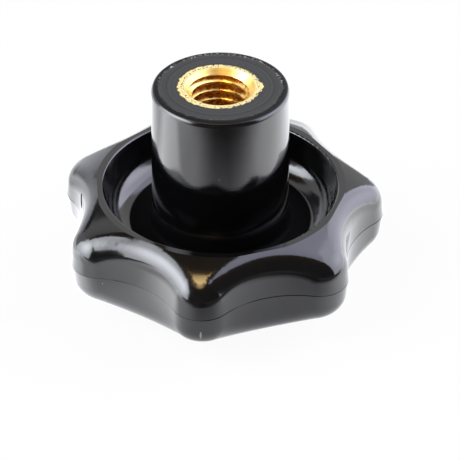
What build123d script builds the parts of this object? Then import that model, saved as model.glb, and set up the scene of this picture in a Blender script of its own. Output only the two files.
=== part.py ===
from build123d import *

# Star knob, 50 mm across its lobes, with a moulded-in M10 brass bush.
#
# The knob is one compression-moulded phenolic body and one turned brass bush.
# It stands on the flat in the middle of its palm side with the hub upwards. The
# origin is the centre of the hub's end face, which meets whatever the knob
# clamps, and +Z points out of the threaded hole. All sizes are in millimetres
# and degrees.

import os
from math import cos, radians, sin, sqrt, tan

# Star head, seen along the axis
LOBES = 7
FIRST_LOBE = -97.1  # direction of one lobe, from +X
TIP_RADIUS = 25.0  # reach of the lobes at the parting line
SCALLOP_RADIUS = 20.7  # deepest points of the finger scallops
TIP_ROUNDING = 4.5

# Levels along the axis, from the hub's end face
LAND_LEVEL = -16.8  # flat ring between the recess and the lobes
PARTING_LEVEL = -23.5  # where the two mould halves meet
CROWN_LEVEL = -33.7  # flat in the middle of the palm dome, on which the knob stands

# Surfaces of the head
LAND_RADIUS = 18.8  # outer edge of the land, where the shoulder starts to fall
SHOULDER_SLOPE = 15.0  # at the land
SHOULDER_CURVE = 17.0
PALM_CURVE = 54.0
PALM_FLAT_RADIUS = 6.5
SCALLOP_DRAFT = 1.5  # of the side walls, both ways from the parting line
TIP_DRAFT = 6.0
EDGE_ROLL = 3.8  # rounding between the sides and the shoulder or the palm dome

# Hub
HUB_RADIUS = 10.05  # at its end face
HUB_DRAFT = 0.8
HUB_EDGE_ROLL = 0.8
HUB_FOOT_ROLL = 0.8

# Recess round the hub
RECESS_MOUTH = 17.65
RECESS_FLOOR = -23.2
RECESS_DRAFT = 13.0
RECESS_FOOT_ROLL = 3.8
RECESS_LIP_ROLL = 0.3

# Threaded bush, M10 x 1.5
THREAD_RADIUS = 5.0
THREAD_PITCH = 1.5
BORE_RADIUS = THREAD_RADIUS - THREAD_PITCH * 5 * sqrt(3) / 16
BORE_DEPTH = 22.0
DRILL_POINT = 118.0
COUNTERSINK_RADIUS = 5.15
COUNTERSINK_ANGLE = 90.0
BUSH_RADIUS = 6.0  # over the knurl
BUSH_LENGTH = 27.0
BUSH_CHAMFER = 0.6
KNURL_TEETH = 36
KNURL_DEPTH = 0.25
GROOVE_LEVEL = -11.0  # anchoring groove, its side nearer the hub's face
GROOVE_WIDTH = 4.0
GROOVE_RADIUS = 5.4


def polar(radius, angle):
    """A point in the plan."""
    return Vector(radius * cos(radians(angle)), radius * sin(radians(angle)))


def half_section(*corners):
    """A closed polygon of (radius, level) corners, ready to be revolved about Z."""
    return Plane.XZ * make_face(Polyline(*corners, close=True))


def rolled(section, corner, radius):
    """The section with one of its corners rounded off."""
    at = Vector(corner[0], 0, corner[1])
    return fillet(section.vertices().sort_by_distance(at)[0], radius)


def star_outline(height):
    """Lobe tips and finger scallops at a height above the parting line, or below it."""
    half_pitch = 180 / LOBES
    inset = SCALLOP_RADIUS - abs(height) * tan(radians(SCALLOP_DRAFT))
    reach = TIP_RADIUS - abs(height) * tan(radians(TIP_DRAFT))
    tip_centre = reach - TIP_ROUNDING
    # Each scallop touches the two tips beside it and its own deepest point.
    side = tip_centre * cos(radians(half_pitch))
    scallop = (tip_centre**2 + inset**2 - 2 * inset * side - TIP_ROUNDING**2) / (
        2 * (TIP_ROUNDING + side - inset)
    )
    arcs = []
    for lobe in range(LOBES):
        angle = FIRST_LOBE + lobe * 2 * half_pitch
        tip = polar(tip_centre, angle)
        next_tip = polar(tip_centre, angle + 2 * half_pitch)
        hollow_before = polar(inset + scallop, angle - half_pitch)
        hollow_after = polar(inset + scallop, angle + half_pitch)
        tip_start = tip + (hollow_before - tip).normalized() * TIP_ROUNDING
        tip_end = tip + (hollow_after - tip).normalized() * TIP_ROUNDING
        next_start = next_tip + (hollow_after - next_tip).normalized() * TIP_ROUNDING
        deepest = polar(inset, angle + half_pitch)
        arcs.append(ThreePointArc(tip_start, polar(reach, angle), tip_end))
        arcs.append(ThreePointArc(tip_end, deepest, next_start))
    return Plane.XY.offset(PARTING_LEVEL + height) * make_face(arcs)


def star_prism():
    """The lobes' side walls, drafted both ways from the parting line."""
    height = PARTING_LEVEL - CROWN_LEVEL + 2
    upper = loft([star_outline(0), star_outline(height)], ruled=True)
    lower = loft([star_outline(0), star_outline(-height)], ruled=True)
    return upper + lower


def head_lens():
    """The curved shoulder above and the palm dome below, as one turned body."""
    start = radians(SHOULDER_SLOPE)
    shoulder_middle = LAND_RADIUS - SHOULDER_CURVE * sin(start)
    shoulder_centre = LAND_LEVEL - SHOULDER_CURVE * cos(start)
    dome_centre = CROWN_LEVEL + sqrt(PALM_CURVE**2 - PALM_FLAT_RADIUS**2)

    def shoulder(radius):
        rise = sqrt(SHOULDER_CURVE**2 - (radius - shoulder_middle) ** 2)
        return radius, shoulder_centre + rise

    def dome(radius):
        return radius, dome_centre - sqrt(PALM_CURVE**2 - radius**2)

    outside = TIP_RADIUS + 2
    summit = shoulder(shoulder_middle)
    flat_edge = (PALM_FLAT_RADIUS, CROWN_LEVEL)
    section = make_face(
        [
            Line((0, CROWN_LEVEL), (0, summit[1])),
            Line((0, summit[1]), summit),
            ThreePointArc(summit, shoulder(LAND_RADIUS), shoulder(outside)),
            Line(shoulder(outside), dome(outside)),
            ThreePointArc(dome(outside), dome(outside / 2), flat_edge),
            Line(flat_edge, (0, CROWN_LEVEL)),
        ]
    )
    return revolve(Plane.XZ * section, Axis.Z)


def runs_round_a_rim(edge):
    """True where the side walls meet the shoulder or the palm dome."""
    middle = edge @ 0.5
    far_out = sqrt(middle.X**2 + middle.Y**2) > LAND_RADIUS
    upright = abs((edge % 0.5).Z) > 0.7
    on_parting_line = abs(middle.Z - PARTING_LEVEL) < 1
    return far_out and not upright and not on_parting_line


def star_head():
    """The lobed disc with its rolled edges, before the recess is taken out."""
    blank = star_prism() & head_lens()
    return fillet(blank.edges().filter_by(runs_round_a_rim), EDGE_ROLL)


def clearance():
    """The empty space over the head: above the land, in the recess, round the hub."""
    hub_growth = tan(radians(HUB_DRAFT))
    wall_run = (LAND_LEVEL - RECESS_FLOOR) * tan(radians(RECESS_DRAFT))
    hub_edge = (HUB_RADIUS, 0)
    hub_foot = (HUB_RADIUS - RECESS_FLOOR * hub_growth, RECESS_FLOOR)
    recess_foot = (RECESS_MOUTH - wall_run, RECESS_FLOOR)
    recess_lip = (RECESS_MOUTH, LAND_LEVEL)
    outside = TIP_RADIUS + 5
    above = 5
    section = half_section(
        (0, 0),
        hub_edge,
        hub_foot,
        recess_foot,
        recess_lip,
        (outside, LAND_LEVEL),
        (outside, above),
        (0, above),
    )
    section = rolled(section, hub_edge, HUB_EDGE_ROLL)
    section = rolled(section, hub_foot, HUB_FOOT_ROLL)
    section = rolled(section, recess_foot, RECESS_FOOT_ROLL)
    section = rolled(section, recess_lip, RECESS_LIP_ROLL)
    return revolve(section, Axis.Z)


def bush_blank():
    """The bush before it is drilled: straight knurling with an anchoring groove."""
    corners = []
    for tooth in range(KNURL_TEETH):
        angle = tooth * 360 / KNURL_TEETH
        corners.append(polar(BUSH_RADIUS, angle))
        corners.append(polar(BUSH_RADIUS - KNURL_DEPTH, angle + 180 / KNURL_TEETH))
    knurled = extrude(make_face(Polyline(*corners, close=True)), BUSH_LENGTH, dir=(0, 0, -1))
    outside = BUSH_RADIUS + 1
    turned = half_section(
        (0, 0),
        (outside, 0),
        (outside, GROOVE_LEVEL),
        (GROOVE_RADIUS, GROOVE_LEVEL),
        (GROOVE_RADIUS, GROOVE_LEVEL - GROOVE_WIDTH),
        (outside, GROOVE_LEVEL - GROOVE_WIDTH),
        (outside, BUSH_CHAMFER + 1 - BUSH_LENGTH),
        (BUSH_RADIUS - BUSH_CHAMFER, -BUSH_LENGTH),
        (0, -BUSH_LENGTH),
    )
    return knurled & revolve(turned, Axis.Z)


def tapped_hole():
    """Countersink, bore at the thread's crests, and drill point."""
    flare = tan(radians(COUNTERSINK_ANGLE / 2))
    above = 1
    section = half_section(
        (0, above),
        (COUNTERSINK_RADIUS + above * flare, above),
        (BORE_RADIUS, (BORE_RADIUS - COUNTERSINK_RADIUS) / flare),
        (BORE_RADIUS, -BORE_DEPTH),
        (0, -BORE_DEPTH - BORE_RADIUS / tan(radians(DRILL_POINT / 2))),
    )
    return revolve(section, Axis.Z)


def threaded_insert():
    return bush_blank() - tapped_hole()


def star_grip():
    """The whole moulding, with the bush's knurled seat in its hub."""
    column_foot = RECESS_FLOOR - 1
    column = Pos(0, 0, column_foot) * Cylinder(
        RECESS_MOUTH - 2, 1 - column_foot, align=(Align.CENTER, Align.CENTER, Align.MIN)
    )
    return star_head() + column - clearance() - bush_blank()


os.makedirs("parts", exist_ok=True)
export_step(star_grip(), "parts/star_grip.step")
export_step(threaded_insert(), "parts/threaded_insert.step")
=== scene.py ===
# %% [markdown]
# # A star knob with a brass bush
#
# A star knob is a hand nut: seven blunt lobes to grip, a round hub, and a
# threaded brass bush moulded into the hub. This lesson dresses the solid model
# of one. The solids are already right in shape and size, so the work here is
# the finish of the black moulding, a brass bush with a real thread in it, and
# a small photo studio, since a black glossy thing looks like what it reflects.

# %% Load the solid model
from math import atan2, degrees, hypot, radians, sqrt, tan

import bpy
from mathutils import Matrix, Vector


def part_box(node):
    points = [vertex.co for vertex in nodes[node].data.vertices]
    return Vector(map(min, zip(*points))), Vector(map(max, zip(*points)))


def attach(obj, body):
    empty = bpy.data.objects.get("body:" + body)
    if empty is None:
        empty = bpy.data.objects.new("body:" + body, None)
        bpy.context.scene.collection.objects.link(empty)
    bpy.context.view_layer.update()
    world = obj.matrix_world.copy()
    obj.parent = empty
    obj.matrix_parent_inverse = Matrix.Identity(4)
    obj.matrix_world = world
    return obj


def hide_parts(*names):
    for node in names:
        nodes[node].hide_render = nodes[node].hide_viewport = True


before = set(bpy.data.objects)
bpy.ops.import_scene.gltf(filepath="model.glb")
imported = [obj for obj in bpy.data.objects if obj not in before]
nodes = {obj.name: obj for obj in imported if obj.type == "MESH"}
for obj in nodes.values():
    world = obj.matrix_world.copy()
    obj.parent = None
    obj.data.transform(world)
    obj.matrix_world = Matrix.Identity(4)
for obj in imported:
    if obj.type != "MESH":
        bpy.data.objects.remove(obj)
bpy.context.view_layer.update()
print("solids:", sorted(nodes))

# %% [markdown]
# ## Sizes
#
# Blender works in metres and the knob is a few centimetres wide, so its sizes
# are written in millimetres and multiplied by MM. Levels count down from the
# hub's end face, where the origin is. The outer sizes are measured on the
# solids themselves, so that nothing here can drift away from them.

# %% Measure the solids
MM = 0.001
grip_low, grip_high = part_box("star_grip")
bush_low, bush_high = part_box("threaded_insert")
FLOOR_LEVEL = grip_low.z
BUSH_RADIUS = bush_high.x
BUSH_LENGTH = bush_high.z - bush_low.z
print("knob", [round(side / MM, 2) for side in grip_high - grip_low], "mm")
print("bush radius", round(BUSH_RADIUS / MM, 2), "length", round(BUSH_LENGTH / MM, 2), "mm")

# %% [markdown]
# ## Colours and nodes
#
# Colours are written as they look on a screen, in hex, and Blender calculates
# with linear light, so one function converts them. Materials are built from
# nodes. One function starts a material with none, and another adds one node of
# any kind, sets its values and joins its inputs, which keeps each material
# readable as a list of steps. The kinds and settings that come up again and
# again get short names.


# %% Colour and node helpers
def colour(hex_code):
    """The linear red, green, blue and alpha of a colour on an sRGB screen."""
    channels = [int(hex_code[start : start + 2], 16) / 255 for start in (1, 3, 5)]
    linear = [c / 12.92 if c <= 0.04045 else ((c + 0.055) / 1.055) ** 2.4 for c in channels]
    return (*linear, 1.0)


def add_node(tree, kind, settings=None, inputs=None):
    """Adds one node. An input is given a value, or the node or socket that feeds it."""
    node = tree.nodes.new(kind)
    for name, value in (settings or {}).items():
        setattr(node, name, value)
    for name, value in (inputs or {}).items():
        if isinstance(name, int):
            socket = node.inputs[name]
        else:
            socket = next(s for s in node.inputs if s.enabled and s.name == name)
        if isinstance(value, bpy.types.Node):
            value = next(output for output in value.outputs if output.enabled)
        if isinstance(value, bpy.types.NodeSocket):
            tree.links.new(value, socket)
        else:
            socket.default_value = value
    return node


def new_material(name):
    """A material with no nodes yet, and the tree that they go in."""
    material = bpy.data.materials.new(name)
    material.use_nodes = True
    material.node_tree.nodes.clear()
    return material, material.node_tree


MATH, VECTOR = "ShaderNodeMath", "ShaderNodeVectorMath"
NOISE, STEP, MIX = "ShaderNodeTexNoise", "ShaderNodeMapRange", "ShaderNodeMix"
ADD, SUBTRACT = {"operation": "ADD"}, {"operation": "SUBTRACT"}
MULTIPLY, MULTIPLY_ADD = {"operation": "MULTIPLY"}, {"operation": "MULTIPLY_ADD"}
DIVIDE, MAXIMUM = {"operation": "DIVIDE"}, {"operation": "MAXIMUM"}
LESS, GREATER = {"operation": "LESS_THAN"}, {"operation": "GREATER_THAN"}
ABSOLUTE, SCALE = {"operation": "ABSOLUTE"}, {"operation": "SCALE"}
LENGTH, DOT = {"operation": "LENGTH"}, {"operation": "DOT_PRODUCT"}
SOFT = {"interpolation_type": "SMOOTHSTEP"}
COLOURS = {"data_type": "RGBA"}
LINES = {"noise_dimensions": "1D"}
print("mid grey is", round(colour("#808080")[0], 3), "in linear light")

# %% [markdown]
# ## Camera
#
# The knob stands on its palm side and the camera looks down on it at about 36
# degrees from some 27 cm away, with a long lens, so that the lobes in front are
# hardly larger than those behind. Building the camera first lets every later
# step be judged in the final view.

# %% Place the camera
CAMERA_PLACE = Vector((1.496, -226.914, 141.364)) * MM
CAMERA_TILT, CAMERA_ROLL = 36.378, 0.302  # degrees
SENSOR_WIDTH, FOCAL_LENGTH = 36.0, 144.35  # mm, as Blender takes them

camera_data = bpy.data.cameras.new("camera")
camera_data.sensor_width = SENSOR_WIDTH
camera_data.lens = FOCAL_LENGTH
camera = bpy.data.objects.new("camera", camera_data)
bpy.context.scene.collection.objects.link(camera)
camera.matrix_world = (
    Matrix.Translation(CAMERA_PLACE)
    @ Matrix.Rotation(radians(90 - CAMERA_TILT), 4, "X")
    @ Matrix.Rotation(radians(CAMERA_ROLL), 4, "Z")
)
bpy.context.scene.camera = camera
bpy.context.scene.view_settings.view_transform = "Standard"
print("camera stands", round(CAMERA_PLACE.length * 100, 1), "cm away")

# %% [markdown]
# ## The brass bush
#
# The bush is turned from bar: knurled outside so that the moulding holds it,
# drilled, countersunk and tapped M10. Its thread could be a bump pattern, but
# bumps don't hide anything, and here one looks straight into the hole. So the
# blank is drilled and tapped as on a lathe: each tool is a solid, and a Boolean
# modifier cuts it away.


# %% Selection helpers
def deselect_all():
    """Leaves edit mode and empties the selection."""
    if bpy.context.object and bpy.context.object.mode != "OBJECT":
        bpy.ops.object.mode_set(mode="OBJECT")
    bpy.ops.object.select_all(action="DESELECT")


def select_only(piece):
    """Makes one piece the selected and active one."""
    deselect_all()
    piece.select_set(True)
    bpy.context.view_layer.objects.active = piece


def pick(piece, kind, wanted):
    """In edit mode, selects the vertices or faces for which wanted(their place) is true."""
    bpy.ops.mesh.select_mode(type=kind)
    bpy.ops.mesh.select_all(action="DESELECT")
    bpy.ops.object.mode_set(mode="OBJECT")
    if kind == "VERT":
        for vertex in piece.data.vertices:
            vertex.select = wanted(vertex.co)
    else:
        for face in piece.data.polygons:
            face.select = wanted(face.center)
    bpy.ops.object.mode_set(mode="EDIT")


print("selection helpers are ready")

# %% [markdown]
# ### The blank
#
# The blank starts as a cylinder with two corners for each knurl tooth, and every
# second corner is pulled in to make the valleys. From the groove on it is grown
# downwards: each step extrudes the end face and scales it. The groove is what
# keeps the bush from being pulled out of the moulding.

# %% Turn the blank
KNURL_TEETH = 36
KNURL_DEPTH = 0.25 * MM
GROOVE_TOP, GROOVE_FOOT, GROOVE_RADIUS = -11 * MM, -15 * MM, 5.4 * MM
BUSH_CHAMFER = 0.6 * MM
HAIR = 0.001 * MM
NEAR_AXIS = 0.1 * MM

deselect_all()
bpy.ops.mesh.primitive_cylinder_add(
    vertices=2 * KNURL_TEETH,
    radius=BUSH_RADIUS,
    depth=-GROOVE_TOP,
    location=(0, 0, GROOVE_TOP / 2),
)
bush = bpy.context.object
bush.name = bush.data.name = "brass_bush"
bpy.ops.object.transform_apply(location=True, rotation=True, scale=True)
bpy.ops.object.mode_set(mode="EDIT")
pick(bush, "VERT", lambda at: round(degrees(atan2(at.y, at.x)) * KNURL_TEETH / 180) % 2 == 1)
valley = 1 - KNURL_DEPTH / BUSH_RADIUS
bpy.ops.transform.resize(value=(valley, valley, 1), center_override=(0, 0, 0))


def grow_down(piece, from_level, depth, shrink=1.0):
    """Extrudes the end face at a level further down and scales the new end."""
    pick(piece, "FACE", lambda at: abs(at.z - from_level) < HAIR and hypot(at.x, at.y) < NEAR_AXIS)
    bpy.ops.mesh.extrude_region_move(TRANSFORM_OT_translate={"value": (0, 0, -depth)})
    bpy.ops.transform.resize(
        value=(shrink, shrink, 1), center_override=(0, 0, from_level - depth)
    )


grow_down(bush, GROOVE_TOP, 0, GROOVE_RADIUS / BUSH_RADIUS)
grow_down(bush, GROOVE_TOP, GROOVE_TOP - GROOVE_FOOT)
grow_down(bush, GROOVE_FOOT, 0, BUSH_RADIUS / GROOVE_RADIUS)
grow_down(bush, GROOVE_FOOT, BUSH_LENGTH + GROOVE_FOOT - BUSH_CHAMFER)
grow_down(bush, BUSH_CHAMFER - BUSH_LENGTH, BUSH_CHAMFER, 1 - BUSH_CHAMFER / BUSH_RADIUS)
bpy.ops.object.mode_set(mode="OBJECT")
print("blank:", len(bush.data.polygons), "faces")

# %% [markdown]
# ### Drill and countersink
#
# The hole is drilled first, to where the thread's crests will be. On a metric
# thread that is inside the nominal radius by five eighths of the height of the
# sharp triangle that the profile is drawn in. A cone then opens its mouth. Both
# tools start above the face, so that no skin is left over the hole.

# %% Drill and countersink
THREAD_RADIUS = 5.0 * MM
THREAD_PITCH = 1.5 * MM
SHARP_HEIGHT = THREAD_PITCH * sqrt(3) / 2
BORE_RADIUS = THREAD_RADIUS - SHARP_HEIGHT * 5 / 8
BORE_DEPTH = 22 * MM
DRILL_POINT = radians(118)
COUNTERSINK_RADIUS = 5.15 * MM
FLARE = tan(radians(90 / 2))
CLEAR = 1 * MM
SIDES = 96


def cut(piece, tool):
    """Takes one solid out of another and throws the tool away."""
    select_only(piece)
    bpy.ops.object.modifier_add(type="BOOLEAN")
    boolean = piece.modifiers[-1]
    boolean.operation = "DIFFERENCE"
    boolean.solver = "EXACT"
    boolean.object = tool
    bpy.ops.object.modifier_apply(modifier=boolean.name)
    bpy.data.objects.remove(tool)


deselect_all()
bpy.ops.mesh.primitive_cylinder_add(
    vertices=SIDES,
    radius=BORE_RADIUS,
    depth=BORE_DEPTH + CLEAR,
    location=(0, 0, (CLEAR - BORE_DEPTH) / 2),
)
drill = bpy.context.object
bpy.ops.object.transform_apply(location=True, rotation=True, scale=True)
bpy.ops.object.mode_set(mode="EDIT")
grow_down(drill, -BORE_DEPTH, BORE_RADIUS / tan(DRILL_POINT / 2))
bpy.ops.mesh.merge(type="COLLAPSE")
bpy.ops.object.mode_set(mode="OBJECT")
cut(bush, drill)

deselect_all()
cone_radius = COUNTERSINK_RADIUS + CLEAR * FLARE
cone_depth = cone_radius / FLARE
bpy.ops.mesh.primitive_cone_add(
    vertices=SIDES,
    radius1=0,
    radius2=cone_radius,
    depth=cone_depth,
    location=(0, 0, CLEAR - cone_depth / 2),
)
countersink = bpy.context.object
bpy.ops.object.transform_apply(location=True, rotation=True, scale=True)
cut(bush, countersink)
print("drilled and countersunk:", len(bush.data.polygons), "faces")

# %% [markdown]
# ### Tap
#
# A thread is cut on the drilled wall, so its crests stay flat where the drill
# left them, and only the grooves are the tap's work. One groove is a blunt
# wedge, 60 degrees between its flanks, carried round and down by a Screw
# modifier at one pitch a turn. It starts above the face, so it runs out through
# the countersink as a real thread does, in a sickle-shaped edge.

# %% Tap the thread
TURNS = 15
STEPS_A_TURN = 72
FIRST_GROOVE = 1.37 * MM
CORE_RADIUS = 3.9 * MM
ROOT_FLAT = THREAD_PITCH / 8
FLANK_ANGLE = radians(60 / 2)
WELD_DISTANCE = 0.0001 * MM
SMOOTH_BELOW = radians(25)


def groove_half_width(radius):
    """Half the height of the tap's wedge at a radius."""
    return ROOT_FLAT / 2 + (THREAD_RADIUS - radius) * tan(FLANK_ANGLE)


deselect_all()
bpy.ops.mesh.primitive_plane_add(
    size=1,
    location=((CORE_RADIUS + THREAD_RADIUS) / 2, 0, FIRST_GROOVE),
    rotation=(radians(90), 0, 0),
)
tap = bpy.context.object
tap.scale = (THREAD_RADIUS - CORE_RADIUS, 2 * groove_half_width(CORE_RADIUS), 1)
bpy.ops.object.transform_apply(location=True, rotation=True, scale=True)
bpy.ops.object.mode_set(mode="EDIT")
pick(tap, "VERT", lambda at: at.x > THREAD_RADIUS - HAIR)
bpy.ops.transform.resize(
    value=(1, 1, groove_half_width(THREAD_RADIUS) / groove_half_width(CORE_RADIUS)),
    center_override=(0, 0, FIRST_GROOVE),
)
bpy.ops.mesh.select_all(action="SELECT")
bpy.ops.mesh.delete(type="ONLY_FACE")
bpy.ops.object.mode_set(mode="OBJECT")
bpy.ops.object.modifier_add(type="SCREW")
screw = tap.modifiers[-1]
screw.axis = "Z"
screw.angle = radians(-360)
screw.screw_offset = -THREAD_PITCH
screw.iterations = TURNS
screw.steps = screw.render_steps = STEPS_A_TURN
bpy.ops.object.modifier_apply(modifier=screw.name)
bpy.ops.object.mode_set(mode="EDIT")
bpy.ops.mesh.select_all(action="SELECT")
bpy.ops.mesh.fill_holes(sides=4)
bpy.ops.mesh.normals_make_consistent(inside=False)
bpy.ops.object.mode_set(mode="OBJECT")
tap_levels = [vertex.co.z / MM for vertex in tap.data.vertices]
print("tap from", round(max(tap_levels), 2), "to", round(min(tap_levels), 2), "mm")
cut(bush, tap)

select_only(bush)
bpy.ops.object.mode_set(mode="EDIT")
bpy.ops.mesh.select_all(action="SELECT")
bpy.ops.mesh.remove_doubles(threshold=WELD_DISTANCE)
bpy.ops.mesh.normals_make_consistent(inside=False)
bpy.ops.object.mode_set(mode="OBJECT")
bpy.ops.object.shade_smooth_by_angle(angle=SMOOTH_BELOW)
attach(bush, "root")
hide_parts("threaded_insert")
print("bush:", len(bush.data.polygons), "faces")

# %% [markdown]
# ## How the end of the hub is finished
#
# After moulding, a lathe tool faces the hub's end, brass and resin in one cut.
# That leaves fine rings, takes the gloss off the resin, and tears the two into
# each other where they meet, so the brass ends in a ragged line instead of on
# the knurl's clean one. Both materials need that same line, and both are drawn
# by level and by distance from the axis, so one function adds all this to
# whichever material asks. In the materials, places and sizes are in plain
# millimetres, apart from the height of a bump, and a pattern's scale is one over
# the size of its grain.

# %% Marks of the facing cut
END_FACE = -0.02
TORN_FROM, TORN_WIDTH, TORN_GRAIN = 5.3, 1.3, 0.55
TORN_SHIFT, POINT_LENGTH = 0.22, 0.45


def face_marks(tree):
    """Returns the nodes that both materials use: place, level, radius, on_end, brassy."""
    position = add_node(tree, "ShaderNodeTexCoord").outputs["Object"]
    place = add_node(tree, VECTOR, SCALE, {0: position, "Scale": 1 / MM})
    axes = add_node(tree, "ShaderNodeSeparateXYZ", None, {"Vector": place})
    level = axes.outputs["Z"]
    flat = add_node(tree, VECTOR, MULTIPLY, {0: place, 1: (1, 1, 0)})
    radius = add_node(tree, VECTOR, LENGTH, {0: flat})
    on_end = add_node(tree, MATH, GREATER, {0: level, 1: END_FACE})
    # The ragged line lies a little towards -X, and one point of it is dragged out to +X.
    sideways = add_node(tree, MATH, DIVIDE, {0: axes.outputs["X"], 1: radius})
    dragged = add_node(
        tree,
        STEP,
        None,
        {"Value": sideways, "From Min": 0.96, "From Max": 1, "To Max": POINT_LENGTH},
    )
    torn = add_node(
        tree,
        NOISE,
        None,
        {"Vector": place, "Scale": 1 / TORN_GRAIN, "Detail": 6, "Roughness": 0.7},
    )
    limit = add_node(tree, MATH, MULTIPLY_ADD, {0: torn, 1: TORN_WIDTH, 2: TORN_FROM})
    limit = add_node(tree, MATH, MULTIPLY_ADD, {0: sideways, 1: -TORN_SHIFT, 2: limit})
    limit = add_node(tree, MATH, ADD, {0: limit, 1: dragged})
    brassy = add_node(tree, MATH, LESS, {0: radius, 1: limit})
    return place, level, radius, on_end, brassy


print("the brass ends about", TORN_FROM + TORN_WIDTH / 2, "mm from the axis")

# %% [markdown]
# ## Brass
#
# Brass is a metal, so its colour is in what it reflects: gold where light comes
# straight off it, and deep orange in the thread, where light has been from
# flank to flank and is coloured each time. A saturated base colour therefore
# does both. The thread's walls are bright. The countersink and the end, which
# were cut last, are duller. The end is specked with resin, and its colour is
# partly brass and partly painted highlight, painted paler than brass is.

# %% Brass material
# CuZn39Pb3 free-cutting brass, turned: warm gold, bright on the flanks.
BLOTCH, CRUMB, SCORE = 1.1, 0.3, 0.15
COUNTERSINK_FOOT, FOOT_BLEND = -0.95, 0.15
SCORE_RELIEF = 0.03 * MM

brass, tree = new_material("turned_free_cutting_brass")
place, level, radius, on_end, brassy = face_marks(tree)
blotches = add_node(tree, NOISE, None, {"Vector": place, "Scale": 1 / BLOTCH, "Detail": 4})

# Crumbs of resin lie on the end, towards the torn edge.
crumbs = add_node(tree, NOISE, None, {"Vector": place, "Scale": 1 / CRUMB, "Detail": 2})
crumbs = add_node(tree, STEP, SOFT, {"Value": crumbs, "From Min": 0.55, "From Max": 0.59})
near_edge = add_node(tree, STEP, SOFT, {"Value": radius, "From Min": 5.1, "From Max": 5.6})
crumbs = add_node(tree, MATH, MULTIPLY, {0: crumbs, 1: near_edge})
not_brassy = add_node(tree, MATH, SUBTRACT, {0: 1, 1: brassy})
resin = add_node(tree, MATH, MAXIMUM, {0: not_brassy, 1: crumbs})
resin = add_node(tree, MATH, MULTIPLY, {0: resin, 1: on_end})

# The tool's scores are too fine to show, so they are drawn 0.15 mm apart.
wobble = add_node(tree, MATH, MULTIPLY_ADD, {0: blotches, 1: 0.4, 2: radius})
scores = add_node(
    tree, NOISE, LINES, {"W": wobble, "Scale": 1 / SCORE, "Detail": 2, "Roughness": 0.7}
)
gold = add_node(
    tree, MIX, COLOURS, {"Factor": blotches, "A": colour("#f2c268"), "B": colour("#f8d488")}
)
flared = add_node(
    tree, MIX, COLOURS, {"Factor": scores, "A": colour("#c9a95c"), "B": colour("#e6cc80")}
)
# The end's colour is partly brass and partly painted highlight, paler than brass is.
faced_tint_and_highlight = add_node(
    tree, MIX, COLOURS, {"Factor": scores, "A": colour("#eed488"), "B": colour("#fffac0")}
)
cut_last = add_node(
    tree,
    STEP,
    SOFT,
    {
        "Value": level,
        "From Min": COUNTERSINK_FOOT - FOOT_BLEND,
        "From Max": COUNTERSINK_FOOT + FOOT_BLEND,
    },
)
tint = add_node(tree, MIX, COLOURS, {"Factor": cut_last, "A": gold, "B": flared})
tint = add_node(tree, MIX, COLOURS, {"Factor": on_end, "A": tint, "B": faced_tint_and_highlight})
tint = add_node(tree, MIX, COLOURS, {"Factor": resin, "A": tint, "B": colour("#2a2b2a")})
wall_roughness = add_node(
    tree,
    STEP,
    SOFT,
    {"Value": blotches, "From Min": 0.3, "From Max": 0.7, "To Min": 0.18, "To Max": 0.34},
)
roughness = add_node(tree, MIX, None, {"Factor": cut_last, "A": wall_roughness, "B": 0.38})
height = add_node(tree, MATH, ADD, {0: scores, 1: blotches})
height = add_node(tree, MATH, MULTIPLY, {0: height, 1: on_end})
scored = add_node(
    tree, "ShaderNodeBump", None, {"Strength": 0.4, "Distance": SCORE_RELIEF, "Height": height}
)
metal = add_node(tree, MATH, SUBTRACT, {0: 1, 1: resin})
surface = add_node(
    tree,
    "ShaderNodeBsdfPrincipled",
    None,
    {"Base Color": tint, "Roughness": roughness, "Metallic": metal, "Normal": scored},
)
add_node(tree, "ShaderNodeOutputMaterial", None, {"Surface": surface})
bush.data.materials.clear()
bush.data.materials.append(brass)
print("brass nodes:", len(tree.nodes))

# %% [markdown]
# ## The black moulding
#
# The grip is phenolic resin, a hard thermoset filled with wood flour and
# moulded in polished steel. Its own colour is nearly black, and everything one
# sees on it is reflection, so what matters is how smooth it is: a hair of
# waviness over the whole body, faint lathe lines of the mould on the hub, a
# thin seam where the mould halves met, a dull bottom in the recess, and the
# matt end that was turned. Most of these are masks, 1 where the finish lies and
# 0 elsewhere, and the masks then set the colour, the gloss and the relief.
#
# ### The turned end
#
# Where the end was cut, resin and wood flour lie open. It is matt, ringed by
# the tool, crumbled along its rim and smeared with brass near the bush. It
# could be a material of its own, but its edge wanders across the faces of the
# mesh, so it is a mask in the one material.

# %% Phenolic: the turned end
# Moulded phenolic, refractive index about 1.6, high gloss.
TURNED_RADIUS, TURNED_RAGGED = 9.0, 0.5
EDGE_GRAIN, CRUMBLE, CHIP, RING, FLOUR = 2.5, 0.5, 0.35, 0.35, 0.5

phenolic, tree = new_material("black_phenolic_moulding")
place, level, radius, on_end, brassy = face_marks(tree)

# The cut takes the end off to about 9 mm.
ragged = add_node(tree, NOISE, None, {"Vector": place, "Scale": 1 / EDGE_GRAIN, "Detail": 3})
cut_from = TURNED_RADIUS - TURNED_RAGGED / 2
reach = add_node(tree, MATH, MULTIPLY_ADD, {0: ragged, 1: TURNED_RAGGED, 2: cut_from})
turned = add_node(tree, MATH, LESS, {0: radius, 1: reach})
turned = add_node(tree, MATH, MULTIPLY, {0: turned, 1: on_end})

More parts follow.
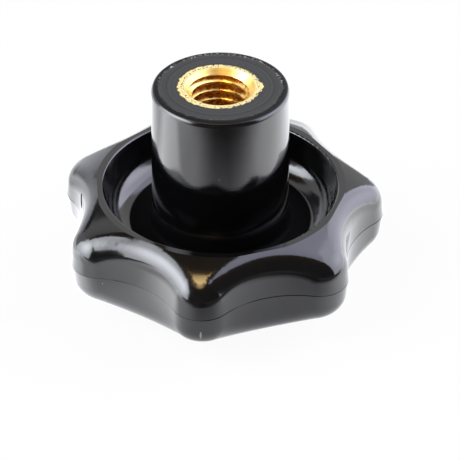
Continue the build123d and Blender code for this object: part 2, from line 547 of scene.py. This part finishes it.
# There the resin crumbled, here and there, and most on the +Y side.
from_rim = add_node(tree, MATH, SUBTRACT, {0: radius, 1: TURNED_RADIUS})
from_rim = add_node(tree, MATH, ABSOLUTE, {0: from_rim})
at_rim = add_node(tree, STEP, SOFT, {"Value": from_rim, "From Min": 0.35, "From Max": 0.1})
crumbled = add_node(
    tree, NOISE, None, {"Vector": place, "Scale": 1 / CRUMBLE, "Detail": 4, "Roughness": 0.7}
)
crumbled = add_node(tree, STEP, SOFT, {"Value": crumbled, "From Min": 0.51, "From Max": 0.57})
chipped = add_node(tree, MATH, MULTIPLY, {0: crumbled, 1: at_rim})
far_side = add_node(tree, VECTOR, DOT, {0: place, 1: (0.1, 1, 0)})
far_side = add_node(
    tree, STEP, None, {"Value": far_side, "From Min": -1, "From Max": 5, "To Min": 0.12}
)
chipped = add_node(tree, MATH, MULTIPLY, {0: chipped, 1: far_side})
chipped = add_node(tree, MATH, MULTIPLY, {0: chipped, 1: on_end})
smeared = add_node(tree, MATH, MULTIPLY, {0: brassy, 1: on_end})

# Rings of the facing tool, drawn 0.35 mm apart, where several run together.
rings = add_node(
    tree, NOISE, LINES, {"W": radius, "Scale": 1 / RING, "Detail": 3, "Roughness": 0.65}
)
rings = add_node(tree, STEP, SOFT, {"Value": rings, "From Min": 0.35, "From Max": 0.65})
flour = add_node(
    tree, NOISE, None, {"Vector": place, "Scale": 1 / FLOUR, "Detail": 5, "Roughness": 0.65}
)
matt = add_node(
    tree, MIX, COLOURS, {"Factor": rings, "A": colour("#0c0e0e"), "B": colour("#343737")}
)
matt = add_node(tree, MIX, COLOURS, {"Factor": flour, "A": colour("#101111"), "B": matt})
tint = add_node(tree, MIX, COLOURS, {"Factor": turned, "A": colour("#0a0a0c"), "B": matt})

# Some chips are pale, a painted glint where they catch the light, and the others are black.
pale = add_node(tree, NOISE, None, {"Vector": place, "Scale": 1 / CHIP})
pale = add_node(tree, STEP, None, {"Value": pale, "From Min": 0.48, "From Max": 0.54})
chip_tone_with_glint = add_node(
    tree, MIX, COLOURS, {"Factor": pale, "A": colour("#040404"), "B": colour("#b4b4ac")}
)
tint = add_node(tree, MIX, COLOURS, {"Factor": chipped, "A": tint, "B": chip_tone_with_glint})
tint = add_node(tree, MIX, COLOURS, {"Factor": smeared, "A": tint, "B": colour("#f6dd9c")})
print("nodes so far:", len(tree.nodes))

# %% [markdown]
# ### Dust, a gate scar and a painted highlight
#
# A glossy black surface shows every grain of dust. Modelling each would be a
# waste, so a Voronoi texture strews them, one to a cell, and only every tenth
# cell keeps its own. The gate scar and a pale line of painted highlight have
# places of their own, and each is a small egg-shaped space inside which its
# mask is 1.

# %% Phenolic: dust, gate scar and painted highlight
# The grains are about 0.2 mm across.
DUST_SPACING, GRAIN_IN_CELL, CELLS_WITHOUT = 2.4, 0.042, 0.9
grains = add_node(
    tree, "ShaderNodeTexVoronoi", None, {"Vector": place, "Scale": 1 / DUST_SPACING}
)
cell = add_node(tree, "ShaderNodeSeparateColor", None, {"Color": grains.outputs["Color"]})
small = add_node(tree, MATH, LESS, {0: grains.outputs["Distance"], 1: GRAIN_IN_CELL})
kept = add_node(tree, MATH, GREATER, {0: cell.outputs["Red"], 1: CELLS_WITHOUT})
dusty = add_node(tree, MATH, MULTIPLY, {0: small, 1: kept})
tint = add_node(tree, MIX, COLOURS, {"Factor": dusty, "A": tint, "B": colour("#90908c")})

# Two marks: the dull scar of the gate on one lobe, and a pale line low on another, which is a
# painted highlight.
GATE_SCAR_PLACE, GATE_SCAR_HALF = (-21.0, 0.5, -20.9), (0.8, 0.55, 1.4)
HIGHLIGHT_LINE_PLACE, HIGHLIGHT_LINE_HALF = (-2.6, -24.4, -26.4), (0.14, 0.9, 0.75)
scar_and_highlight_masks = []
for middle, half_size in ((GATE_SCAR_PLACE, GATE_SCAR_HALF), (HIGHLIGHT_LINE_PLACE, HIGHLIGHT_LINE_HALF)):
    away = add_node(tree, VECTOR, SUBTRACT, {0: place, 1: middle})
    away = add_node(tree, VECTOR, DIVIDE, {0: away, 1: half_size})
    away = add_node(tree, VECTOR, LENGTH, {0: away})
    scar_and_highlight_masks.append(add_node(tree, MATH, LESS, {0: away, 1: 1}))
gate_scar, painted_highlight_line = scar_and_highlight_masks
# The pale line low on the front lobe is a painted highlight.
tint = add_node(tree, MIX, COLOURS, {"Factor": painted_highlight_line, "A": tint, "B": colour("#8c8c86")})
print("nodes so far:", len(tree.nodes))

# %% [markdown]
# ### Dull places
#
# Three more places on the skin are dull: the bottom of the recess, the seam,
# and a narrow band round the turned end. They follow from level and radius
# alone, so nothing has to be cut into the mesh for them.

# %% Phenolic: recess, seam and scuffed rim
# The bottom of the recess is dull, and the palm side under it isn't.
BOTTOM_RADIUS, BOTTOM_BLEND = 13.8, 0.15
DULL_LEVEL, DULL_BLEND, PALM_LEVEL = -19.7, 0.7, -24
inside = add_node(
    tree,
    STEP,
    SOFT,
    {
        "Value": radius,
        "From Min": BOTTOM_RADIUS + BOTTOM_BLEND,
        "From Max": BOTTOM_RADIUS - BOTTOM_BLEND,
    },
)
deep = add_node(
    tree,
    STEP,
    SOFT,
    {"Value": level, "From Min": DULL_LEVEL + DULL_BLEND, "From Max": DULL_LEVEL - DULL_BLEND},
)
above_palm = add_node(tree, MATH, GREATER, {0: level, 1: PALM_LEVEL})
bottom = add_node(tree, MATH, MULTIPLY, {0: inside, 1: deep})
bottom = add_node(tree, MATH, MULTIPLY, {0: bottom, 1: above_palm})

# The seam of the two mould halves is a dull line 0.15 mm wide, and fainter in places.
SEAM_LEVEL, LOBES_FROM, WORN_GRAIN = -23.5, 18.5, 7
from_seam = add_node(tree, MATH, SUBTRACT, {0: level, 1: SEAM_LEVEL})
from_seam = add_node(tree, MATH, ABSOLUTE, {0: from_seam})
seam = add_node(tree, STEP, SOFT, {"Value": from_seam, "From Min": 0.12, "From Max": 0.03})
on_lobes = add_node(tree, MATH, GREATER, {0: radius, 1: LOBES_FROM})
seam = add_node(tree, MATH, MULTIPLY, {0: seam, 1: on_lobes})
worn = add_node(tree, NOISE, None, {"Vector": place, "Scale": 1 / WORN_GRAIN, "Detail": 1})
worn = add_node(
    tree, STEP, SOFT, {"Value": worn, "From Min": 0.42, "From Max": 0.58, "To Min": 0.3}
)
seam = add_node(tree, MATH, MULTIPLY, {0: seam, 1: worn})

# Outside the turned end, a narrow band of the skin is scuffed by the tool.
SCUFF_FOOT, SCUFF_TOP = -0.3, -0.12
outside = add_node(tree, MATH, GREATER, {0: radius, 1: reach})
upper = add_node(
    tree, STEP, SOFT, {"Value": level, "From Min": SCUFF_FOOT, "From Max": SCUFF_TOP}
)
scuffed = add_node(tree, MATH, MULTIPLY, {0: upper, 1: outside})
scuffed = add_node(tree, MATH, MULTIPLY, {0: scuffed, 1: 0.85})
print("nodes so far:", len(tree.nodes))

# %% [markdown]
# ### Sheen and gloss
#
# Two sockets make a surface dull. A higher roughness spreads its reflections,
# and a lower specular level weakens them. The dull places get both. Elsewhere
# the roughness is low and varies a little, because an even one looks like glass.

# %% Phenolic: sheen and gloss
WAVE = 3.5
HUB_RADIUS, LOBE_GLOSS_FROM = 11, 15
EDGE_FOOT, EDGE_TOP, EDGE_GLOSS = -1.6, -0.5, 0.18
dull = add_node(tree, MATH, MAXIMUM, {0: bottom, 1: seam})
dull = add_node(tree, MATH, MAXIMUM, {0: dull, 1: scuffed})
dull = add_node(tree, MATH, MAXIMUM, {0: dull, 1: gate_scar})
matt_end = add_node(tree, MATH, MULTIPLY, {0: turned, 1: 0.4})
less_sheen = add_node(tree, MATH, MAXIMUM, {0: dull, 1: matt_end})
sheen = add_node(tree, STEP, None, {"Value": less_sheen, "To Min": 0.5, "To Max": 0.02})
waves = add_node(tree, NOISE, None, {"Vector": place, "Scale": 1 / WAVE, "Detail": 2})
gloss = add_node(
    tree,
    STEP,
    SOFT,
    {"Value": waves, "From Min": 0.3, "From Max": 0.7, "To Min": 0.1, "To Max": 0.15},
)

# The hub is glossier than the lobes, apart from its edge.
polish = add_node(
    tree,
    STEP,
    None,
    {"Value": radius, "From Min": HUB_RADIUS, "From Max": LOBE_GLOSS_FROM, "To Min": 0.6},
)
gloss = add_node(tree, MATH, MULTIPLY, {0: gloss, 1: polish})
edge_gloss = add_node(
    tree,
    STEP,
    SOFT,
    {"Value": level, "From Min": EDGE_FOOT, "From Max": EDGE_TOP, "To Max": EDGE_GLOSS},
)
gloss = add_node(tree, MATH, MAXIMUM, {0: gloss, 1: edge_gloss})
dull = add_node(tree, MATH, MAXIMUM, {0: dull, 1: dusty})
roughness = add_node(tree, MIX, None, {"Factor": dull, "A": gloss, "B": 0.6})
ring_roughness = add_node(tree, STEP, None, {"Value": rings, "To Min": 0.6, "To Max": 0.46})
roughness = add_node(tree, MIX, None, {"Factor": turned, "A": roughness, "B": ring_roughness})
print("nodes so far:", len(tree.nodes))

# %% [markdown]
# ### Relief
#
# What is left is hundredths of a millimetre deep, too shallow for geometry: the
# waviness, the lathe lines, the rings, the seam and the chips. They add up to
# one height, and a Bump node tilts the light's bounce by it.

# %% Phenolic: relief and surface
# Lines that turning the mould left on the hub, drawn 0.3 mm apart.
LATHE_LINE, DRIFT_GRAIN, RELIEF = 0.3, 6, 0.05 * MM
drift = add_node(tree, NOISE, None, {"Vector": place, "Scale": 1 / DRIFT_GRAIN})
drift = add_node(tree, MATH, MULTIPLY_ADD, {0: drift, 1: 0.5, 2: level})
lathe_lines = add_node(
    tree, NOISE, LINES, {"W": drift, "Scale": 1 / LATHE_LINE, "Detail": 3, "Roughness": 0.6}
)
on_hub = add_node(
    tree, STEP, None, {"Value": radius, "From Min": 10.5, "From Max": 10.3, "To Max": 0.25}
)
relief = add_node(tree, MATH, MULTIPLY_ADD, {0: lathe_lines, 1: on_hub, 2: waves})
on_rings = add_node(tree, MATH, MULTIPLY, {0: turned, 1: 0.9})
relief = add_node(tree, MATH, MULTIPLY_ADD, {0: rings, 1: on_rings, 2: relief})
relief = add_node(tree, MATH, MULTIPLY_ADD, {0: seam, 1: -0.6, 2: relief})
relief = add_node(tree, MATH, MULTIPLY_ADD, {0: chipped, 1: -1.5, 2: relief})
bump = add_node(
    tree, "ShaderNodeBump", None, {"Strength": 0.25, "Distance": RELIEF, "Height": relief}
)
surface = add_node(
    tree,
    "ShaderNodeBsdfPrincipled",
    None,
    {
        "Base Color": tint,
        "Roughness": roughness,
        "Metallic": smeared,
        "IOR": 1.6,
        "Specular IOR Level": sheen,
        "Normal": bump,
    },
)
add_node(tree, "ShaderNodeOutputMaterial", None, {"Surface": surface})
grip = nodes["star_grip"]
for slot in grip.material_slots:
    slot.material = phenolic
print("phenolic nodes:", len(tree.nodes))

# %% [markdown]
# ## Studio
#
# A black glossy thing is a mirror with little light of its own, so the studio
# is drawn as what it reflects. The room is white. In it stand a softbox on the
# left, a wide diffuser on the right that runs on overhead, a warm lamp high in
# front and a pale sweep of paper behind. Dark cards keep the camera's side, the
# ceiling and a part of the back dark. Those faces show in reflections only. Two
# ordinary lamps light all that isn't a mirror, at a level at which a colour
# looks about as it is written. The studio is measured in metres.


# %% Lit faces and dark cards
def round_spot(tree, position, centre, reach):
    """1 at the centre, falling evenly to 0 at the reach."""
    shrunk = {"Location": [-c / reach for c in centre], "Scale": [1 / reach] * 3}
    moved = add_node(tree, "ShaderNodeMapping", None, {"Vector": position, **shrunk})
    return add_node(
        tree, "ShaderNodeTexGradient", {"gradient_type": "SPHERICAL"}, {"Vector": moved}
    ).outputs["Fac"]


def lit_face(name, middle, size, turn, glow, pull_down=0.0):
    """
    A panel that is seen in reflections only. The glow is its colour, the levels of light
    at its edge and at its brightest spot, that spot's place and how far it reaches.
    pull_down lowers the top corner on the camera's side.
    """
    deselect_all()
    bpy.ops.mesh.primitive_plane_add(size=1, location=middle, rotation=turn)
    panel = bpy.context.object
    panel.name = name
    panel.scale = (*size, 1)
    bpy.ops.object.transform_apply(location=True, rotation=True, scale=True)
    if pull_down:
        bpy.ops.object.mode_set(mode="EDIT")
        pick(panel, "VERT", lambda at: at.z > middle[2] and at.y < middle[1])
        bpy.ops.transform.translate(value=(0, 0, -pull_down))
        bpy.ops.object.mode_set(mode="OBJECT")
    tint, edge_level, peak_level, spot, reach = glow
    material, tree = new_material(name + "_glow")
    position = add_node(tree, "ShaderNodeTexCoord").outputs["Object"]
    near = round_spot(tree, position, spot, reach)
    strength = add_node(
        tree, STEP, SOFT, {"Value": near, "To Min": edge_level, "To Max": peak_level}
    )
    shine = add_node(
        tree, "ShaderNodeEmission", None, {"Color": colour(tint), "Strength": strength}
    )
    add_node(tree, "ShaderNodeOutputMaterial", None, {"Surface": shine})
    panel.data.materials.append(material)
    panel.visible_camera = panel.visible_diffuse = False
    panel.visible_shadow = panel.visible_volume_scatter = False


QUARTER = radians(90)
LYING, ACROSS = (0, 0, 0), (QUARTER, 0, 0)
ON_LEFT, ON_RIGHT = (QUARTER, 0, -QUARTER), (QUARTER, 0, QUARTER)
FRONT_LEFT, FRONT_RIGHT = (QUARTER, 0, -QUARTER / 2), (QUARTER, 0, QUARTER / 2)

left_glow = ("#f4f8ff", 6.0, 13.5, (-0.6, -0.15, 0.36), 0.45)
right_glow = ("#ececff", 4.6, 6.6, (0.6, 0.12, 0.3), 0.4)
top_glow = ("#e6e6ff", 3.2, 3.6, (0.6, 0.2, 1.0), 0.6)
warm_glow = ("#ffd896", 3.0, 14.0, (-0.12, -0.2, 1.0), 0.32)
sweep_glow = ("#f4f6ff", 1.1, 2.0, (-0.6, 1.0, 0.1), 0.7)
lit_face("left_softbox", (-0.6, -0.19, 0.57), (0.78, 1.2), ON_LEFT, left_glow, pull_down=0.72)
lit_face("right_diffuser", (0.6, 0.26, 0.48), (1.14, 1.03), ON_RIGHT, right_glow)
lit_face("overhead_diffuser", (0.68, 0.32, 1.0), (0.94, 1.36), LYING, top_glow)
lit_face("warm_lamp", (-0.12, -0.28, 1.0), (0.24, 0.6), LYING, warm_glow)
lit_face("pale_sweep", (-0.75, 1.0, 0.2), (0.9, 0.5), ACROSS, sweep_glow)

black_card = ("#fff0e4", 0.1, 0.16, (-0.2, -0.9, 0.1), 0.5)
warm_card = ("#ffd9a8", 0.14, 1.2, (-0.2, -0.32, 1.05), 0.42)
cool_card = ("#ece6f4", 0.14, 0.5, (-0.5, 1.02, 0.55), 0.3)
lit_face("front_card", (-0.2, -0.95, 0.6), (3.4, 1.4), ACROSS, black_card)
lit_face("ceiling_card", (-0.1, -0.2, 1.05), (2.3, 1.8), LYING, warm_card)
lit_face("back_card", (-0.75, 1.02, 0.78), (0.9, 0.6), ACROSS, cool_card)
lit_face("right_card", (0.9, -0.7, 0.6), (0.7, 1.4), FRONT_RIGHT, black_card)
lit_face("left_card", (-0.95, -0.78, 0.6), (0.7, 1.4), FRONT_LEFT, black_card)
print("lit faces and cards are ready")

# %% [markdown]
# ### Table
#
# The table is white paper. The camera and soft light see it as that, with the
# knob's faint shadow. In reflections it is brighter towards the softbox and the
# diffuser and runs dark towards the camera, which is what draws the grey sides
# of the lobes and the hub.

# %% Table
TABLE_SIZE = 4
deselect_all()
bpy.ops.mesh.primitive_plane_add(size=TABLE_SIZE, location=(0, 0, FLOOR_LEVEL))
table = bpy.context.object
table.name = "table"
bpy.ops.object.transform_apply(location=True, rotation=True, scale=True)
print("table at", round(FLOOR_LEVEL / MM, 1), "mm")

# %% Paper: its level of light in reflections
# Uncoated white paper is matt. Its levels of light are set by place on the table.
BASE_LEVEL, LEFT_LEVEL, RIGHT_LEVEL = 1.15, 3.0, 1.9
LEFT_POOL, LEFT_POOL_PLACE = 6.0, (-0.24, -0.05, FLOOR_LEVEL)
RIGHT_POOL, RIGHT_POOL_PLACE = 3.0, (0.26, 0.08, FLOOR_LEVEL)
POOL_REACH = 0.2
DARK_WAY, DARK_FROM, DARK_TO, DARK_LEVEL = (0.208, -0.978, 0), 0.03, 0.066, 0.08

paper, tree = new_material("white_paper")
position = add_node(tree, "ShaderNodeTexCoord").outputs["Object"]
axes = add_node(tree, "ShaderNodeSeparateXYZ", None, {"Vector": position}).outputs
left_side = add_node(
    tree,
    STEP,
    None,
    {"Value": axes["X"], "From Min": -0.008, "From Max": -0.03, "To Max": LEFT_LEVEL},
)
in_front = add_node(
    tree, STEP, None, {"Value": axes["Y"], "From Min": -0.025, "From Max": -0.018, "To Min": 0.35}
)
behind = add_node(
    tree, STEP, None, {"Value": axes["Y"], "From Min": 0.02, "From Max": 0.008, "To Min": 0.3}
)
right_side = add_node(
    tree,
    STEP,
    None,
    {"Value": axes["X"], "From Min": 0.012, "From Max": 0.045, "To Max": RIGHT_LEVEL},
)
left_pool = round_spot(tree, position, LEFT_POOL_PLACE, POOL_REACH)
right_pool = round_spot(tree, position, RIGHT_POOL_PLACE, POOL_REACH)
left_side = add_node(tree, MATH, MULTIPLY, {0: left_side, 1: behind})
pools = add_node(tree, MATH, MULTIPLY_ADD, {0: left_side, 1: in_front, 2: BASE_LEVEL})
pools = add_node(tree, MATH, ADD, {0: pools, 1: right_side})
pools = add_node(tree, MATH, MULTIPLY_ADD, {0: left_pool, 1: LEFT_POOL, 2: pools})
pools = add_node(tree, MATH, MULTIPLY_ADD, {0: right_pool, 1: RIGHT_POOL, 2: pools})
front = add_node(tree, VECTOR, DOT, {0: position, 1: DARK_WAY})
darkening = add_node(
    tree,
    STEP,
    SOFT,
    {
        "Value": front,
        "From Min": DARK_FROM,
        "From Max": DARK_TO,
        "To Min": 1,
        "To Max": DARK_LEVEL,
    },
)
mirrored_level = add_node(tree, MATH, MULTIPLY, {0: pools, 1: darkening})
print("nodes so far:", len(tree.nodes))

# %% Paper: what each kind of ray sees
WHITE = (1, 1, 1, 1)
PLAIN_SHARE = 0.95
rays = add_node(tree, "ShaderNodeLightPath").outputs
mirrored = add_node(
    tree, "ShaderNodeEmission", None, {"Color": colour("#fafbff"), "Strength": mirrored_level}
)
lit = add_node(tree, "ShaderNodeBsdfDiffuse", None, {"Color": colour("#f4f4f4")})
plain_white = add_node(tree, "ShaderNodeEmission", None, {"Color": WHITE, "Strength": 1})
seen = add_node(tree, "ShaderNodeMixShader", None, {"Fac": PLAIN_SHARE, 1: lit, 2: plain_white})
in_mirrors = add_node(
    tree, "ShaderNodeMixShader", None, {"Fac": rays["Is Glossy Ray"], 1: lit, 2: mirrored}
)
to_camera = add_node(
    tree, "ShaderNodeMixShader", None, {"Fac": rays["Is Camera Ray"], 1: in_mirrors, 2: seen}
)
add_node(tree, "ShaderNodeOutputMaterial", None, {"Surface": to_camera})
table.data.materials.append(paper)
print("paper nodes:", len(tree.nodes))

# %% [markdown]
# ### Room
#
# The room is a white world. As a lamp it would flood the knob from all sides,
# so it is white only to the camera, in mirrors and through glass, and soft
# light gets a fifth of it.

# %% Room
ROOM_LIGHT = 0.2
room = bpy.data.worlds.new("white_room")
bpy.context.scene.world = room
room.use_nodes = True
tree = room.node_tree
tree.nodes.clear()
rays = add_node(tree, "ShaderNodeLightPath").outputs
shows_room = add_node(tree, MATH, MAXIMUM, {0: rays["Is Camera Ray"], 1: rays["Is Glossy Ray"]})
shows_room = add_node(tree, MATH, MAXIMUM, {0: shows_room, 1: rays["Is Transmission Ray"]})
strength = add_node(tree, STEP, None, {"Value": shows_room, "To Min": ROOM_LIGHT, "To Max": 1})
background = add_node(
    tree, "ShaderNodeBackground", None, {"Color": WHITE, "Strength": strength}
)
add_node(tree, "ShaderNodeOutputWorld", None, {"Surface": background})
print("room is white to the camera and in reflections")

# %% [markdown]
# ### Lamps
#
# Matt surfaces need light that falls on them, and two soft lamps give it from
# the left and the right. They stay out of reflections, where the softbox and
# the diffuser already stand.

# %% Lamps for an even level of light
LAMP_SIZE = 0.6


def lamp(name, location, watts):
    """A square lamp that is aimed at the knob and doesn't show in reflections."""
    data = bpy.data.lights.new(name, "AREA")
    data.size = LAMP_SIZE
    data.energy = watts
    piece = bpy.data.objects.new(name, data)
    bpy.context.scene.collection.objects.link(piece)
    piece.location = location
    piece.rotation_euler = (-Vector(location)).to_track_quat("-Z", "Y").to_euler()
    piece.visible_glossy = False


lamp("left_lamp", (-0.7, -0.2, 0.6), watts=8)
lamp("right_lamp", (0.7, 0.1, 0.6), watts=6)
print("studio ready")
